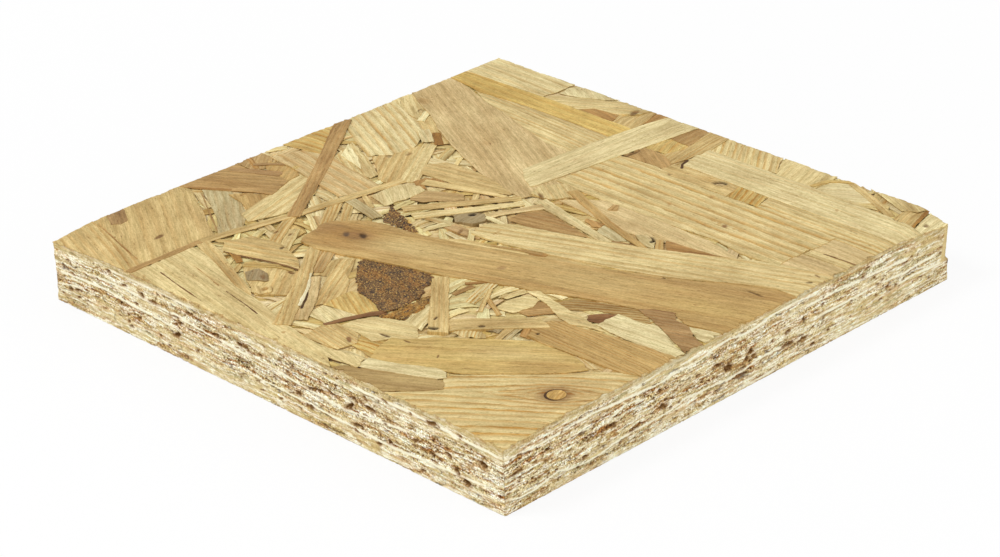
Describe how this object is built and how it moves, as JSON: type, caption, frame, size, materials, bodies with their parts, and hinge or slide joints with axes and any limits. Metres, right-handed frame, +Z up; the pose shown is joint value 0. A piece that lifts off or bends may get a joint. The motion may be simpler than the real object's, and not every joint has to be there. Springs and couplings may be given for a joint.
{
  "type": "osb board",
  "caption": "Square offcut of oriented strand board: a flat pressed wood-strand slab with sawn edges, for sheathing, decking or packing.",
  "frame": {"origin": "centre of the underside, on the surface the board lies on", "axes": "+Z up through the thickness, +X and +Y along the sawn edges, with the splintered corner at +X -Y"},
  "size_m": [0.16, 0.16, 0.018],
  "materials": {
    "wood_strands": "pressed pine strands under a thin resin film, satin",
    "sawn_edge": "rough sawn, matt, porous",
    "bark": "dark pressed bark flakes, matt"
  },
  "bodies": {
    "root": {"osb_board": "wood_strands"}
  },
  "joints": []
}
